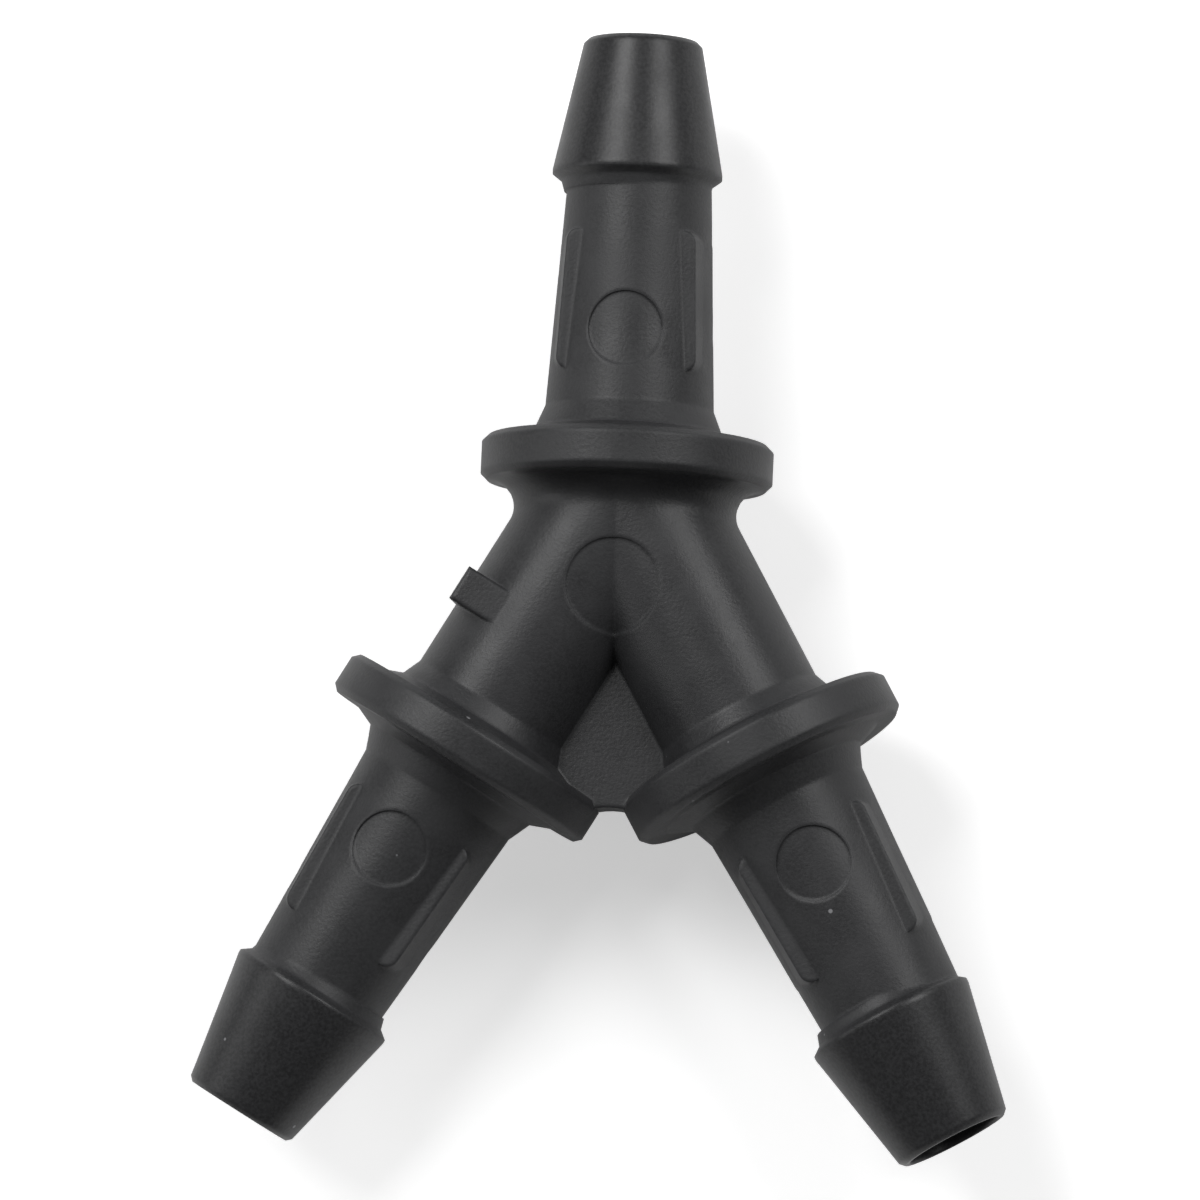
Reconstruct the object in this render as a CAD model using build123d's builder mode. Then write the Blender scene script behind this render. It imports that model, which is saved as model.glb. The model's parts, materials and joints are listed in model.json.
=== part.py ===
"""One-piece moulded Y connector for soft tubing.

Three barbed legs meet in a hub. A round collar on each leg stops the tube, and a flat
web fills the crotch between the two lower legs. The fitting lies flat, with its parting
plane level, and rests on the rims of its three collars.
"""

import os
from math import atan2, copysign, cos, degrees, radians, sin, tan

from build123d import *

# ---- tube side of every leg, millimetres -----------------------------------------
tube_bore = 6.35             # inside diameter of the tube that the legs take
barb_grip = 0.925            # barb edge beyond the tube's free bore, on the radius
tip_clearance = 0.3          # open end inside the tube's free bore, on the radius
bore_radius = 2.4            # flow passage
bore_overlap = 0.3           # passages carried past the junction, into each other

barb_edge_at = 13.95         # collar centre to the barb's edge
flare_length = 0.85          # hollow flare behind the edge
barb_land = 0.2              # short straight land at the edge
tip_at = 20.55               # collar centre to the open end
tip_bevel = 0.22

stem_root_radius = 4.06      # stem beside its collar
stem_end_radius = 3.5        # stem where the flare starts
stem_hollow = 1.6            # hollow from each stem into its collar

# ---- collars -----------------------------------------------------------------------
collar_radius = 7.03
collar_thickness = 2.1
collar_bevel = 0.3           # both edges of the rim
collar_land = 0.05           # flat left on a collar's face beside the largest fillet

# ---- hub -----------------------------------------------------------------------------
hub_radius = 4.15            # each lower leg on the hub side of its collar
hub_hollow = 1.3             # hollow from each lower leg into its own collar
hub_fillet = 1.28            # fillet from the lower legs into the top collar
top_angle = 90               # direction of the top leg
branch_half_angle = 30       # lower legs, each side of straight down
top_collar_at = 1.68         # junction of the three axes to the top collar's centre
branch_collar_at = 14.23     # junction to the centre of each lower collar
branch_sunk = 0.1            # ends of the lower legs inside the top collar

web_thickness = 2.0
web_overrun = 0.1            # crown of the web's free edge past the near collar corners
web_seat = 0.75              # ends of the free edge sunk into the collars' rims

# ---- raised rails on the stems' flanks ---------------------------------------------
rail_start = 4.2             # collar centre to the near end of the ledge
rail_end = 11.0              # collar centre to the far end of the ledge
rail_height = 2.75           # ledge above the parting plane
rail_width = 2.3             # whole rail, measured in the parting plane
rail_proud = 0.05            # rail beyond the stem, in the parting plane
rail_draft = 12              # degrees

# ---- ejector pin marks and gate pad ------------------------------------------------
stem_mark_radius = 1.8
stem_mark_at = 6.1           # collar centre to the mark on each stem
hub_mark_radius = 2.25
hub_mark_at = 4.6            # junction to the mark in the valley
mark_depth = 0.1

gate_from = 6.9              # along the left leg, from the junction
gate_to = 8.7
gate_reach = 4.04            # out from the leg's axis
gate_height = 3.85           # above the parting plane
gate_bevel = 0.12

# ---- end sleeves, moved sideways off the axes of their stems ------------------------
top_shift = 0.13
left_shift = 0.11
right_shift = -0.3

# ---- legs: direction, junction to collar, sideways shift of the sleeve ---------------
left_angle = top_angle + 180 - branch_half_angle
right_angle = top_angle + 180 + branch_half_angle
legs = (
    (top_angle, top_collar_at, top_shift),
    (left_angle, branch_collar_at, left_shift),
    (right_angle, branch_collar_at, right_shift),
)

barb_radius = tube_bore / 2 + barb_grip
tip_radius = tube_bore / 2 - tip_clearance
half_collar = collar_thickness / 2
stem_taper = atan2(
    stem_root_radius - stem_end_radius, barb_edge_at - flare_length - half_collar
)


def leg_plane(direction, side=0.0):
    """Parting plane with its X along a leg; side moves the origin off the leg's axis."""
    along = Vector(cos(radians(direction)), sin(radians(direction)), 0)
    across = Vector(-along.Y, along.X, 0)
    return Plane(origin=across * side, x_dir=along, z_dir=(0, 0, 1))


def stem_radius(from_collar):
    """Radius of a stem at a distance from its collar's centre."""
    return stem_root_radius - (from_collar - half_collar) * tan(stem_taper)


def turn(profile, plane, mode=Mode.ADD):
    """Turn a profile about the X axis of its plane."""
    revolve(profile.sketch, axis=Axis(plane.origin, plane.x_dir), mode=mode)


def hollow(start, end):
    """Points of an arc that leaves start level with the leg, as two flats."""
    run, rise = end[0] - start[0], end[1] - start[1]
    half_turn = atan2(rise, abs(run))
    radius = rise / (1 - cos(2 * half_turn))
    middle_x = start[0] + copysign(radius * sin(half_turn), run)
    return [start, (middle_x, start[1] + radius * (1 - cos(half_turn))), end]


def widest_fillet():
    """Largest fillet that the top collar's face has room for beside a lower leg."""
    slant = radians(branch_half_angle)
    reach = hub_radius / cos(slant) - (top_collar_at - half_collar) * tan(slant)
    room = collar_radius - collar_bevel - collar_land - reach
    return room * tan((radians(90) - slant) / 2)


def hub_body(leg_radius):
    """Hub side of the fitting: inner halves of the collars and the two lower legs."""
    near_top = top_collar_at - half_collar
    near_branch = branch_collar_at - half_collar
    slant = radians(branch_half_angle)
    past_junction = (near_top + branch_sunk + leg_radius * sin(slant)) / cos(slant)
    with BuildPart() as hub:
        top_plane = leg_plane(top_angle)
        with BuildSketch(top_plane) as disc:
            with BuildLine():
                rim = [(near_top, 0), (near_top, collar_radius - collar_bevel)]
                rim += [(near_top + collar_bevel, collar_radius)]
                rim += [(top_collar_at, collar_radius), (top_collar_at, 0)]
                Polyline(*rim, close=True)
            make_face()
        turn(disc, top_plane)

        branch_plane = leg_plane(left_angle)
        with BuildSketch(branch_plane) as branch:
            with BuildLine():
                side = [(-past_junction, 0), (-past_junction, leg_radius)]
                side += hollow(
                    (near_branch - hub_hollow, leg_radius),
                    (near_branch, leg_radius + hub_hollow),
                )
                side += [(near_branch, collar_radius - collar_bevel)]
                side += [(near_branch + collar_bevel, collar_radius)]
                side += [(branch_collar_at, collar_radius), (branch_collar_at, 0)]
                Polyline(*side, close=True)
            make_face()
        turn(branch, branch_plane)

        under_collar = hub.faces().filter_by(Axis.Y).group_by(Axis.Y)[0]
        edge = under_collar.edges().filter_by(GeomType.ELLIPSE)
        fillet(edge, min(hub_fillet, widest_fillet()))
        split(bisect_by=Plane.YZ, keep=Keep.BOTTOM)
        mirror(about=Plane.YZ)
    return hub.part


def stem_body(direction, collar_at, inset=0.0):
    """Outer half of a collar and its tapering stem; inset draws the stem's skin in."""
    plane = leg_plane(direction)
    face = collar_at + half_collar
    end = collar_at + barb_edge_at
    root = stem_root_radius - inset
    with BuildPart() as stem:
        with BuildSketch(plane) as profile:
            with BuildLine():
                side = [(collar_at, 0), (collar_at, collar_radius)]
                side += [(face - collar_bevel, collar_radius)]
                side += [(face, collar_radius - collar_bevel)]
                side += reversed(hollow((face + stem_hollow, root), (face, root + stem_hollow)))
                side += [(end, stem_radius(barb_edge_at) - inset), (end, 0)]
                Polyline(*side, close=True)
            make_face()
        turn(profile, plane)
    return stem.part


def pin_mark(centre, radius, core):
    """Material that an ejector pin pressed away: a disc that follows the skin."""
    with BuildPart() as mark:
        with BuildSketch():
            with Locations(centre):
                Circle(radius)
        extrude(amount=collar_radius)
        add(core, mode=Mode.SUBTRACT)
    return mark.part


def add_web():
    """Flat web in the crotch, with an arched free edge between the lower collars."""
    plane = leg_plane(right_angle)
    corner = plane.from_local_coords((branch_collar_at - half_collar, -collar_radius))
    root = plane.from_local_coords((branch_collar_at, 0))
    seat = plane.from_local_coords((branch_collar_at, web_seat - collar_radius))
    with BuildSketch() as web:
        with BuildLine():
            Polyline((-seat.X, seat.Y), (-root.X, root.Y), (0, 0), (root.X, root.Y), (seat.X, seat.Y))
            ThreePointArc((seat.X, seat.Y), (0, corner.Y - web_overrun), (-seat.X, seat.Y))
        make_face()
    extrude(web.sketch, amount=web_thickness / 2, both=True)


def add_sleeve(direction, collar_at, shift):
    """Barbed end of a leg: hollow flare, edge, short land and lead-in cone."""
    plane = leg_plane(direction, shift)
    edge = collar_at + barb_edge_at
    tip = collar_at + tip_at
    back = edge - flare_length
    with BuildSketch(plane) as profile:
        with BuildLine():
            side = [(back, 0)]
            side += hollow((back, stem_end_radius), (edge, barb_radius))
            side += [(edge + barb_land, barb_radius), (tip - tip_bevel, tip_radius)]
            side += [(tip, tip_radius - tip_bevel), (tip, 0)]
            Polyline(*side, close=True)
        make_face()
    turn(profile, plane)


def cut_bore(direction, collar_at, shift):
    """Flow passage of a leg, from just past the junction to the open end."""
    plane = leg_plane(direction, shift)
    with BuildSketch(plane) as profile:
        with Locations((-bore_overlap, 0)):
            Rectangle(bore_overlap + collar_at + tip_at, bore_radius, align=Align.MIN)
    turn(profile, plane, mode=Mode.SUBTRACT)


def rail_planes(direction, collar_at):
    """Planes for the two rails of a stem, each in line with the stem's tapering side."""
    middle = (rail_start + rail_end) / 2
    off_axis = stem_radius(middle) + rail_proud - rail_width / 2
    for side in (1, -1):
        centre = leg_plane(direction).from_local_coords((collar_at + middle, side * off_axis))
        along = leg_plane(direction - side * degrees(stem_taper)).x_dir
        yield Plane(origin=centre, x_dir=along, z_dir=(0, 0, 1))


# ---- pieces of the moulding that are shaped by themselves ----------------------------
with BuildPart() as rail:
    with BuildSketch():
        spread = 2 * rail_height * tan(radians(rail_draft))
        SlotOverall(rail_end - rail_start + spread, rail_width)
    extrude(amount=rail_height, taper=rail_draft)
    mirror(about=Plane.XY)

with BuildPart() as gate_pad:
    with BuildSketch(leg_plane(left_angle)):
        with Locations((gate_from, -gate_reach)):
            Rectangle(gate_to - gate_from, gate_reach, align=Align.MIN)
    extrude(amount=gate_height)
    chamfer(gate_pad.faces().sort_by(Axis.Z)[-1].edges(), gate_bevel)

mark_core = hub_body(hub_radius - mark_depth)
marks = [pin_mark((0, -hub_mark_at), hub_mark_radius, mark_core)]
for direction, collar_at, _ in legs:
    spot = leg_plane(direction).from_local_coords((collar_at + stem_mark_at, 0))
    core = stem_body(direction, collar_at, mark_depth)
    marks.append(pin_mark((spot.X, spot.Y), stem_mark_radius, core))

# ---- the fitting -------------------------------------------------------------------------
with BuildPart() as y_connector:
    add(hub_body(hub_radius))
    add_web()
    add(gate_pad.part)
    for direction, collar_at, shift in legs:
        add(stem_body(direction, collar_at))
        with Locations(*rail_planes(direction, collar_at)):
            add(rail.part)
        add_sleeve(direction, collar_at, shift)
    add(marks, mode=Mode.SUBTRACT)
    for direction, collar_at, shift in legs:
        cut_bore(direction, collar_at, shift)

# ---- lying flat, centred over its own outline ------------------------------------------
footprint = y_connector.part.bounding_box()
with BuildPart() as fitting:
    with Locations((-footprint.center().X, -footprint.center().Y, -footprint.min.Z)):
        add(y_connector.part)

fitting.part.label = "y_connector"
os.makedirs("parts", exist_ok=True)
export_step(fitting.part, "parts/y_connector.step")
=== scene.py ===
"""Moulded Y connector for soft tubing, lying flat on a plain white table.

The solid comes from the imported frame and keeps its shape. This file gives it its black
moulded finish, and sets the table, the lamps and the camera round it. Lengths are metres.
"""

import json
import math

import bmesh
import bpy
from bpy.props import FloatProperty, FloatVectorProperty, PointerProperty
from bpy.types import Operator, Panel, PropertyGroup
from mathutils import Matrix, Vector

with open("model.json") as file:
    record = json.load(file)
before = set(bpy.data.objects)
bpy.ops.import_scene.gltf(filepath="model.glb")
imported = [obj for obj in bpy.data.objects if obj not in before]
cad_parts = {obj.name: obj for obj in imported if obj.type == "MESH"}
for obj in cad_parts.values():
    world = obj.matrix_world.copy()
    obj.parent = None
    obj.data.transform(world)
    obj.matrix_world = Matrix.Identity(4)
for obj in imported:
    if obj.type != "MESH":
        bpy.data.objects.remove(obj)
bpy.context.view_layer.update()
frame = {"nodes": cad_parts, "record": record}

bl_info = {
    "name": "Y connector finish",
    "version": (1, 0, 0),
    "blender": (4, 5, 0),
    "location": "3D View > Sidebar > Y connector",
    "description": "Black moulded finish and a white table for a barbed Y connector",
    "category": "Object",
}

BODY_NODE = "y_connector"
BARBS = [mount for mount in frame["record"]["mounts"] if mount["name"].endswith("_barb")]
WHITE = (1.0, 1.0, 1.0, 1.0)
WHOLE = (0.0, 1.0)

# Refraction of the plastic, and how finely its edges are softened.
PLASTIC_IOR = 1.43
BEVEL_SAMPLES = 8

# Distances past a barb's edge, negative towards the hub, over which one skin turns into
# the next.
STEM_TO_SLEEVE = (-0.0003, 0.0001)
HUB_TO_STEM = (-0.0155, -0.0135)

# Detail and roughness of each noise, and the noise values at which its marks start and end.
BLOOM_NOISE = {"detail": 4.0, "roughness": 0.62}
BLOOM_MARKS = (0.42, 0.68)
GRAIN_NOISE = {"detail": 2.0, "roughness": 0.6}
GRAIN_MARKS = (0.35, 0.65)
HIGHLIGHT_BREAKUP_NOISE = {"detail": 3.0, "roughness": 0.7}
HIGHLIGHT_BREAKUP_MARKS = (0.35, 0.65)

# Width of a patch of the painted edge highlight, in grains.
HIGHLIGHT_BREAKUP_GRAINS = 3

# How much of a colour the marks lay over the plastic.
GRAIN_COVER = (0.0, 0.8)
EDGE_HIGHLIGHT_COVER = (0.1, 0.6)

# Bloom values, and the change of roughness that goes with them.
BLOOM_SHINE = (0.3, 0.7)
SHINE_CHANGE = (-0.05, 0.06)

# Strength of the grain's relief on the body and on the sleeves.
RELIEF_STRENGTH = (1.0, 0.4)

# Cosines of the turn from flat to softened normal, from no painted edge highlight to the full
# painted edge highlight.
EDGE_HIGHLIGHT_TURN = (0.985, 0.86)

# Random cell values from no speck to the largest, and the share of a radius that fades out.
DUSTY_CELLS = (0.6, 1.0)
DUST_FADE = 0.25

# Distances from the fitting, in lamp distances, over which the table rises to plain white.
TABLE_WHITENS = (0.2, 1.5)

# Sides of the round table top.
TABLE_SIDES = 96

TOWARDS_LEFT_LAMP = Vector((-0.46, 0.46, 0.88))
TOWARDS_RIGHT_LAMP = Vector((0.70, 0.50, 0.80))
TOWARDS_SIDE_LAMP = Vector((-0.95, -0.08, 0.42))

# The camera's sensor, in millimetres, and the nearest and furthest distance that it sees.
SENSOR_WIDTH = 36.0
CLIP_START, CLIP_END = 0.01, 20.0


# ---- settings ----------------------------------------------------------------------
class FinishSettings(PropertyGroup):
    """Colours and texture of the black moulded plastic."""

    body_colour: FloatVectorProperty(
        name="Body colour",
        description="Plastic of the hub, collars and stems, paled a little by its fine texture",
        subtype="COLOR",
        size=3,
        min=0.0,
        max=1.0,
        default=(0.0222, 0.0224, 0.0236),
    )
    sleeve_colour: FloatVectorProperty(
        name="Sleeve colour",
        description="Plastic of the smoother barbed ends",
        subtype="COLOR",
        size=3,
        min=0.0,
        max=1.0,
        default=(0.0160, 0.0161, 0.0170),
    )
    bloom_colour: FloatVectorProperty(
        name="Bloom colour",
        description="Paler patches that handling leaves, and the palest grains of the texture",
        subtype="COLOR",
        size=3,
        min=0.0,
        max=1.0,
        default=(0.0350, 0.0353, 0.0370),
    )
    # Paler colour painted along the moulded edges, in patches: a painted highlight, not wear.
    edge_highlight_colour: FloatVectorProperty(
        name="Painted edge highlight colour",
        description="Painted highlight along the edges of the plastic",
        subtype="COLOR",
        size=3,
        min=0.0,
        max=1.0,
        default=(0.062, 0.063, 0.066),
    )
    dust_colour: FloatVectorProperty(
        name="Dust colour",
        description="Specks of dust in the texture",
        subtype="COLOR",
        size=3,
        min=0.0,
        max=1.0,
        default=(0.22, 0.22, 0.23),
    )
    body_roughness: FloatProperty(
        name="Body roughness",
        description="Middle roughness of the textured skin",
        min=0.0,
        max=1.0,
        default=0.47,
    )
    hub_roughness: FloatProperty(
        name="Hub roughness",
        description="Middle roughness of the smoother hub between the collars",
        min=0.0,
        max=1.0,
        default=0.42,
    )
    sleeve_roughness: FloatProperty(
        name="Sleeve roughness",
        description="Middle roughness of the smoother barbed ends",
        min=0.0,
        max=1.0,
        default=0.37,
    )
    edge_radius: FloatProperty(
        name="Edge radius",
        description="Softening of the moulded edges in the shading",
        subtype="DISTANCE",
        min=0.0,
        default=0.00028,
    )
    grain_size: FloatProperty(
        name="Grain size",
        description="Width of the grains of the mould's texture",
        subtype="DISTANCE",
        min=0.00001,
        default=0.00016,
    )
    grain_height: FloatProperty(
        name="Grain height",
        description="Height of the grains of the mould's texture",
        subtype="DISTANCE",
        min=0.0,
        default=0.000014,
    )
    bloom_size: FloatProperty(
        name="Bloom size",
        description="Width of the paler patches",
        subtype="DISTANCE",
        min=0.0001,
        default=0.0032,
    )
    dust_spacing: FloatProperty(
        name="Dust spacing",
        description="Width of the cells that may hold one speck of dust each",
        subtype="DISTANCE",
        min=0.0001,
        default=0.0016,
    )
    dust_radius: FloatProperty(
        name="Dust radius",
        description="Radius of the largest specks of dust",
        subtype="DISTANCE",
        min=0.00001,
        default=0.00013,
    )


class StageSettings(PropertyGroup):
    """Table, lamps and camera."""

    table_colour: FloatVectorProperty(
        name="Table colour",
        description="Colour of the table and its backdrop",
        subtype="COLOR",
        size=3,
        min=0.0,
        max=1.0,
        default=(0.93, 0.93, 0.93),
    )
    table_radius: FloatProperty(
        name="Table radius",
        description="Radius of the table",
        subtype="DISTANCE",
        min=0.1,
        default=3.0,
    )
    lamp_distance: FloatProperty(
        name="Lamp distance",
        description="Distance of the lamps from the fitting",
        subtype="DISTANCE",
        min=0.1,
        default=0.5,
    )
    lamp_width: FloatProperty(
        name="Lamp width",
        description="Width of each square lamp",
        subtype="DISTANCE",
        min=0.01,
        default=0.24,
    )
    left_lamp: FloatProperty(
        name="Left lamp",
        description="Light from the far left, where 1 lights plain white fully",
        min=0.0,
        default=0.55,
    )
    right_lamp: FloatProperty(
        name="Right lamp",
        description="Light from the far right, where 1 lights plain white fully",
        min=0.0,
        default=0.44,
    )
    side_lamp: FloatProperty(
        name="Side lamp",
        description="Light from low on the left, where 1 lights plain white fully",
        min=0.0,
        default=0.14,
    )
    surroundings: FloatProperty(
        name="Surroundings",
        description="Light of the white surroundings, where 1 is plain white",
        min=0.0,
        default=0.12,
    )
    table_glow: FloatProperty(
        name="Table glow",
        description="What is added to the table round the fitting, so that it looks white",
        min=0.0,
        default=0.5,
    )
    mirrored_glow: FloatProperty(
        name="Mirrored glow",
        description="What is added to the table where it is mirrored, so that it looks white",
        min=0.0,
        default=0.08,
    )
    camera_distance: FloatProperty(
        name="Camera distance",
        description="Camera to the parting plane of the fitting",
        subtype="DISTANCE",
        min=0.1,
        default=0.54216,
    )
    camera_aside: FloatProperty(
        name="Camera aside",
        description="Lean of the camera to the right of straight down",
        subtype="ANGLE",
        default=math.radians(6.37),
    )
    camera_low: FloatProperty(
        name="Camera low",
        description="Lean of the camera towards the two lower legs",
        subtype="ANGLE",
        default=math.radians(6.457),
    )
    camera_roll: FloatProperty(
        name="Camera roll",
        description="Turn of the camera about its line of sight",
        subtype="ANGLE",
        default=math.radians(2.599),
    )
    frame_width: FloatProperty(
        name="Frame width",
        description="Width that the picture takes in at the parting plane",
        subtype="DISTANCE",
        min=0.01,
        default=0.0577,
    )
    aim: FloatVectorProperty(
        name="Aim",
        description="Point in the middle of the picture",
        subtype="XYZ",
        size=3,
        default=(-0.00098, -0.00022, 0.00659),
    )


# ---- shader helpers ------------------------------------------------------------------
def new_material(name):
    """Empty node material, with its output node."""
    material = bpy.data.materials.new(name)
    material.use_nodes = True
    material.node_tree.nodes.clear()
    return material, material.node_tree.nodes.new("ShaderNodeOutputMaterial")


def opaque(colour):
    """Colour with full cover, as a colour socket takes it."""
    return (*colour, 1.0)


def feed(tree, socket, value):
    """Link a socket to another node's output, or give it a plain value."""
    if isinstance(value, bpy.types.NodeSocket):
        tree.links.new(value, socket)
    else:
        socket.default_value = value


def object_place(tree):
    """Place on the surface, in the frame's own metres."""
    return tree.nodes.new("ShaderNodeTexCoord").outputs["Object"]


def noise(tree, width, detail, roughness):
    """Noise whose patches are about width wide."""
    texture = tree.nodes.new("ShaderNodeTexNoise")
    texture.inputs["Scale"].default_value = 1.0 / width
    texture.inputs["Detail"].default_value = detail
    texture.inputs["Roughness"].default_value = roughness
    tree.links.new(object_place(tree), texture.inputs["Vector"])
    return texture.outputs["Fac"]


def spread(tree, value, source, target=WHOLE):
    """Value carried from the source range to the target range, and kept inside it."""
    node = tree.nodes.new("ShaderNodeMapRange")
    names = ("From Min", "From Max", "To Min", "To Max")
    for name, limit in zip(names, (*source, *target)):
        node.inputs[name].default_value = limit
    tree.links.new(value, node.inputs["Value"])
    return node.outputs["Result"]


def blend_colours(tree, amount, first, second):
    """Mix of two colours, each an opaque colour or another node's output."""
    node = tree.nodes.new("ShaderNodeMix")
    node.data_type = "RGBA"
    tree.links.new(amount, node.inputs["Factor"])
    feed(tree, node.inputs["A"], first)
    feed(tree, node.inputs["B"], second)
    return node.outputs["Result"]


def arithmetic(tree, operation, first, second):
    """One sum of two values, each a number or another node's output."""
    node = tree.nodes.new("ShaderNodeMath")
    node.operation = operation
    for socket, value in zip(node.inputs, (first, second)):
        feed(tree, socket, value)
    return node.outputs["Value"]


def vector_arithmetic(tree, operation, *values, result="Vector"):
    """One sum of vectors, each a plain vector or another node's output."""
    node = tree.nodes.new("ShaderNodeVectorMath")
    node.operation = operation
    for socket, value in zip(node.inputs, values):
        feed(tree, socket, value)
    return node.outputs[result]


# ---- black moulded plastic -----------------------------------------------------------
def rounded_normal(tree, radius):
    """Surface normal with the moulded edges softened over radius."""
    bevel = tree.nodes.new("ShaderNodeBevel")
    bevel.samples = BEVEL_SAMPLES
    bevel.inputs["Radius"].default_value = radius
    return bevel.outputs["Normal"]


def edge_highlight_mask(tree, normal):
    """Mask of the painted edge highlight: 1 where the softened normal leaves the flat one, and
    0 elsewhere.
    """
    flat = tree.nodes.new("ShaderNodeNewGeometry").outputs["True Normal"]
    turn = vector_arithmetic(tree, "DOT_PRODUCT", flat, normal, result="Value")
    return spread(tree, turn, EDGE_HIGHLIGHT_TURN)


def past_barbs(tree):
    """Furthest distance past a barb's edge along its leg, negative towards the hub."""
    place = object_place(tree)
    furthest = None
    for barb in BARBS:
        offset = vector_arithmetic(tree, "SUBTRACT", place, barb["pos_m"])
        beyond = vector_arithmetic(
            tree, "DOT_PRODUCT", offset, barb["axis"], result="Value"
        )
        if furthest is not None:
            beyond = arithmetic(tree, "MAXIMUM", furthest, beyond)
        furthest = beyond
    return furthest


def dust_mask(tree, spacing, radius):
    """Mask that is 1 on the few specks of dust, and 0 elsewhere."""
    cells = tree.nodes.new("ShaderNodeTexVoronoi")
    cells.inputs["Scale"].default_value = 1.0 / spacing
    tree.links.new(object_place(tree), cells.inputs["Vector"])
    chance = tree.nodes.new("ShaderNodeSeparateColor")
    tree.links.new(cells.outputs["Color"], chance.inputs["Color"])
    largest = radius / spacing
    size = spread(tree, chance.outputs["Red"], DUSTY_CELLS, (0.0, largest))
    inside = arithmetic(tree, "SUBTRACT", size, cells.outputs["Distance"])
    return spread(tree, inside, (0.0, DUST_FADE * largest))


def plastic_colour(tree, finish, sleeve, bloom, grain, normal):
    """Black of the body and the sleeves, with bloom, grain, a painted highlight along the
    edges, and dust.
    """
    patches = spread(tree, bloom, BLOOM_MARKS)
    colour = blend_colours(
        tree, patches, opaque(finish.body_colour), opaque(finish.bloom_colour)
    )
    colour = blend_colours(tree, sleeve, colour, opaque(finish.sleeve_colour))
    speckle = spread(tree, grain, GRAIN_MARKS, GRAIN_COVER)
    colour = blend_colours(tree, speckle, colour, opaque(finish.bloom_colour))

    # Painted highlight along all edges, convex and concave, broken into patches by noise.
    highlight_breakup = noise(tree, finish.grain_size * HIGHLIGHT_BREAKUP_GRAINS, **HIGHLIGHT_BREAKUP_NOISE)
    highlight_cover = spread(tree, highlight_breakup, HIGHLIGHT_BREAKUP_MARKS, EDGE_HIGHLIGHT_COVER)
    highlight_amount = arithmetic(tree, "MULTIPLY", edge_highlight_mask(tree, normal), highlight_cover)
    colour = blend_colours(tree, highlight_amount, colour, opaque(finish.edge_highlight_colour))
    dust = dust_mask(tree, finish.dust_spacing, finish.dust_radius)
    return blend_colours(tree, dust, colour, opaque(finish.dust_colour))


def plastic_roughness(tree, finish, sleeve, hub, bloom):
    """Roughness of the body, smoother on the sleeves and the hub, uneven with the bloom."""
    legs = spread(tree, sleeve, WHOLE, (finish.body_roughness, finish.sleeve_roughness))
    smoother = spread(tree, hub, WHOLE, (0.0, finish.hub_roughness - finish.body_roughness))
    middle = arithmetic(tree, "ADD", legs, smoother)
    return arithmetic(tree, "ADD", middle, spread(tree, bloom, BLOOM_SHINE, SHINE_CHANGE))


def plastic_normal(tree, finish, sleeve, grain, normal):
    """Softened normal with the grain's relief on it, fainter on the sleeves."""
    relief = tree.nodes.new("ShaderNodeBump")
    relief.inputs["Distance"].default_value = finish.grain_height
    tree.links.new(grain, relief.inputs["Height"])
    strength = spread(tree, sleeve, WHOLE, RELIEF_STRENGTH)
    tree.links.new(strength, relief.inputs["Strength"])
    tree.links.new(normal, relief.inputs["Normal"])
    return relief.outputs["Normal"]


def moulded_plastic(finish):
    """Black moulded plastic: textured body, smoother sleeves, bloom, a painted edge highlight
    and dust.
    """
    material, output = new_material("black_moulded_plastic")
    tree = material.node_tree
    skin = tree.nodes.new("ShaderNodeBsdfPrincipled")
    skin.inputs["IOR"].default_value = PLASTIC_IOR
    tree.links.new(skin.outputs["BSDF"], output.inputs["Surface"])

    normal = rounded_normal(tree, finish.edge_radius)
    past = past_barbs(tree)
    sleeve = spread(tree, past, STEM_TO_SLEEVE)
    hub = spread(tree, past, HUB_TO_STEM, (1.0, 0.0))
    bloom = noise(tree, finish.bloom_size, **BLOOM_NOISE)
    grain = noise(tree, finish.grain_size, **GRAIN_NOISE)

    for socket, value in (
        ("Base Color", plastic_colour(tree, finish, sleeve, bloom, grain, normal)),
        ("Roughness", plastic_roughness(tree, finish, sleeve, hub, bloom)),
        ("Normal", plastic_normal(tree, finish, sleeve, grain, normal)),
    ):
        tree.links.new(value, skin.inputs[socket])
    return material


# ---- table, lamps, camera --------------------------------------------------------------
def white_table(stage):
    """Matt white that reads as plain white and still takes the fitting's shadow."""
    material, output = new_material("white_table")
    tree = material.node_tree
    matt = tree.nodes.new("ShaderNodeBsdfDiffuse")
    matt.inputs["Color"].default_value = opaque(stage.table_colour)
    glow = tree.nodes.new("ShaderNodeEmission")
    glow.inputs["Color"].default_value = WHITE

    away = vector_arithmetic(tree, "LENGTH", object_place(tree), result="Value")
    reach = [share * stage.lamp_distance for share in TABLE_WHITENS]
    lift = spread(tree, away, reach, (stage.table_glow, 1.0))
    ray = tree.nodes.new("ShaderNodeLightPath").outputs
    seen = arithmetic(tree, "MULTIPLY", ray["Is Camera Ray"], lift)
    mirrored = arithmetic(
        tree, "MAXIMUM", ray["Is Glossy Ray"], ray["Is Transmission Ray"]
    )
    mirrored = arithmetic(tree, "MULTIPLY", mirrored, stage.mirrored_glow)
    tree.links.new(arithmetic(tree, "ADD", seen, mirrored), glow.inputs["Strength"])

    both = tree.nodes.new("ShaderNodeAddShader")
    tree.links.new(matt.outputs["BSDF"], both.inputs[0])
    tree.links.new(glow.outputs["Emission"], both.inputs[1])
    tree.links.new(both.outputs["Shader"], output.inputs["Surface"])
    return material


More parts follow.
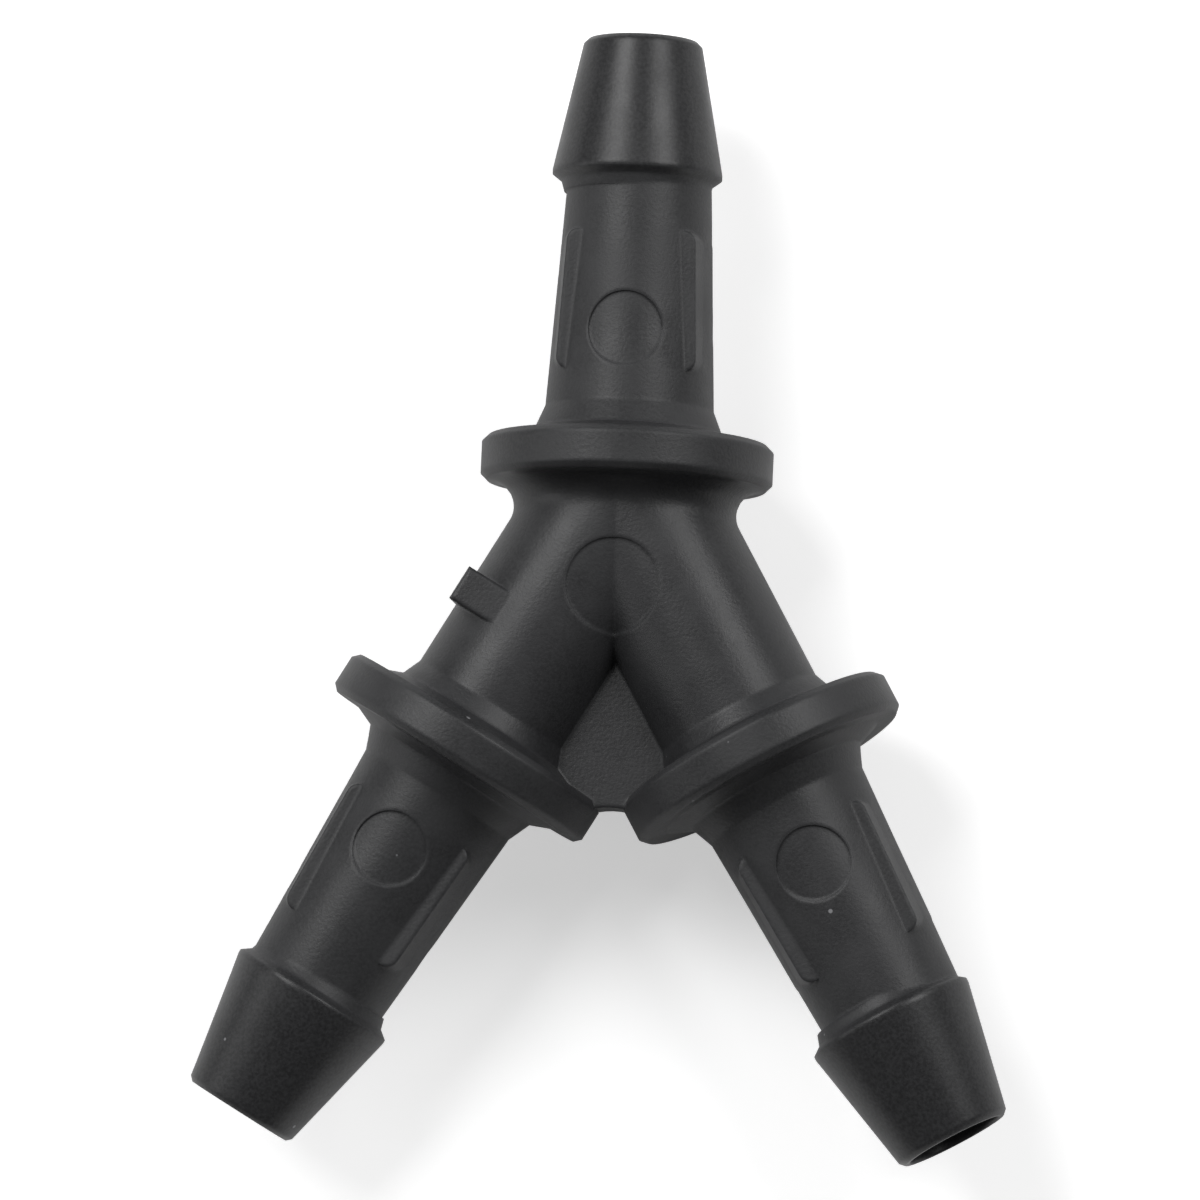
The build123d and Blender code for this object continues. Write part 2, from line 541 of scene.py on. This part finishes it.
def lay_table(stage):
    """Round table top with its face at the height the fitting rests on."""
    mesh = bpy.data.meshes.new("table")
    shape = bmesh.new()
    bmesh.ops.create_circle(
        shape, cap_ends=True, radius=stage.table_radius, segments=TABLE_SIDES
    )
    shape.to_mesh(mesh)
    shape.free()
    table = bpy.data.objects.new("table", mesh)
    bpy.context.scene.collection.objects.link(table)
    mesh.materials.append(white_table(stage))


def hang_lamp(name, towards, distance, width, strength):
    """Square lamp that faces the fitting; strength 1 lights a plain white surface fully."""
    data = bpy.data.lights.new(name, "AREA")
    data.shape = "SQUARE"
    data.size = width
    data.energy = strength * math.pi * math.pi * distance**2
    lamp = bpy.data.objects.new(name, data)
    lamp.location = towards.normalized() * distance
    lamp.rotation_euler = towards.to_track_quat("Z", "Y").to_euler()
    bpy.context.scene.collection.objects.link(lamp)


def light_surroundings(stage):
    """Surroundings that look plain white and light the fitting a little."""
    world = bpy.data.worlds.new("white_surroundings")
    world.use_nodes = True
    tree = world.node_tree
    tree.nodes.clear()
    output = tree.nodes.new("ShaderNodeOutputWorld")
    light = tree.nodes.new("ShaderNodeBackground")
    light.inputs["Color"].default_value = WHITE
    ray = tree.nodes.new("ShaderNodeLightPath").outputs
    strength = spread(tree, ray["Is Camera Ray"], WHOLE, (stage.surroundings, 1.0))
    tree.links.new(strength, light.inputs["Strength"])
    tree.links.new(light.outputs["Background"], output.inputs["Surface"])
    bpy.context.scene.world = world


def place_camera(stage):
    """Camera that looks down on the fitting, leaning to the right and to the lower legs."""
    aside, low = stage.camera_aside, stage.camera_low
    back = Vector(
        (
            math.sin(aside) * math.cos(low),
            -math.sin(low),
            math.cos(aside) * math.cos(low),
        )
    )
    right = Vector((0, 1, 0)).cross(back).normalized()
    up = back.cross(right)
    turned = Matrix((right, up, back)).transposed().to_4x4()
    turned = turned @ Matrix.Rotation(stage.camera_roll, 4, "Z")

    data = bpy.data.cameras.new("camera")
    data.sensor_width = SENSOR_WIDTH
    data.lens = SENSOR_WIDTH * stage.camera_distance / stage.frame_width
    data.clip_start = CLIP_START
    data.clip_end = CLIP_END
    camera = bpy.data.objects.new("camera", data)
    place = Vector(stage.aim) + back * stage.camera_distance
    camera.matrix_world = Matrix.Translation(place) @ turned
    bpy.context.scene.collection.objects.link(camera)
    bpy.context.scene.camera = camera


# ---- operators ------------------------------------------------------------------------
class YCONNECTOR_OT_finish(Operator):
    """Give the moulded fitting its black textured plastic"""

    bl_idname = "yconnector.finish"
    bl_label = "Finish the fitting"

    def execute(self, context):
        fitting = frame["nodes"][BODY_NODE]
        fitting.data.materials.clear()
        fitting.data.materials.append(moulded_plastic(context.scene.connector_finish))
        return {"FINISHED"}


class YCONNECTOR_OT_stage(Operator):
    """Lay the table, hang the lamps and place the camera"""

    bl_idname = "yconnector.stage"
    bl_label = "Set the stage"

    def execute(self, context):
        stage = context.scene.connector_stage
        lay_table(stage)
        light_surroundings(stage)
        for name, towards, strength in (
            ("left_lamp", TOWARDS_LEFT_LAMP, stage.left_lamp),
            ("right_lamp", TOWARDS_RIGHT_LAMP, stage.right_lamp),
            ("side_lamp", TOWARDS_SIDE_LAMP, stage.side_lamp),
        ):
            hang_lamp(name, towards, stage.lamp_distance, stage.lamp_width, strength)
        place_camera(stage)
        context.scene.view_settings.view_transform = "Standard"
        return {"FINISHED"}


class YCONNECTOR_PT_panel(Panel):
    """Sizes and colours of the fitting's finish and of its stage"""

    bl_idname = "YCONNECTOR_PT_panel"
    bl_label = "Y connector"
    bl_space_type = "VIEW_3D"
    bl_region_type = "UI"
    bl_category = "Y connector"

    def draw(self, context):
        for settings, operator in (
            (context.scene.connector_finish, YCONNECTOR_OT_finish),
            (context.scene.connector_stage, YCONNECTOR_OT_stage),
        ):
            column = self.layout.column()
            for name in type(settings).__annotations__:
                column.prop(settings, name)
            column.operator(operator.bl_idname)


CLASSES = (
    FinishSettings,
    StageSettings,
    YCONNECTOR_OT_finish,
    YCONNECTOR_OT_stage,
    YCONNECTOR_PT_panel,
)


def register():
    """Add the settings, operators and panel."""
    for made in CLASSES:
        bpy.utils.register_class(made)
    bpy.types.Scene.connector_finish = PointerProperty(type=FinishSettings)
    bpy.types.Scene.connector_stage = PointerProperty(type=StageSettings)


def unregister():
    """Take the settings, operators and panel away."""
    del bpy.types.Scene.connector_stage
    del bpy.types.Scene.connector_finish
    for made in reversed(CLASSES):
        bpy.utils.unregister_class(made)


def main():
    """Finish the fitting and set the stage."""
    register()
    bpy.ops.yconnector.finish()
    bpy.ops.yconnector.stage()


if __name__ == "__main__":
    main()
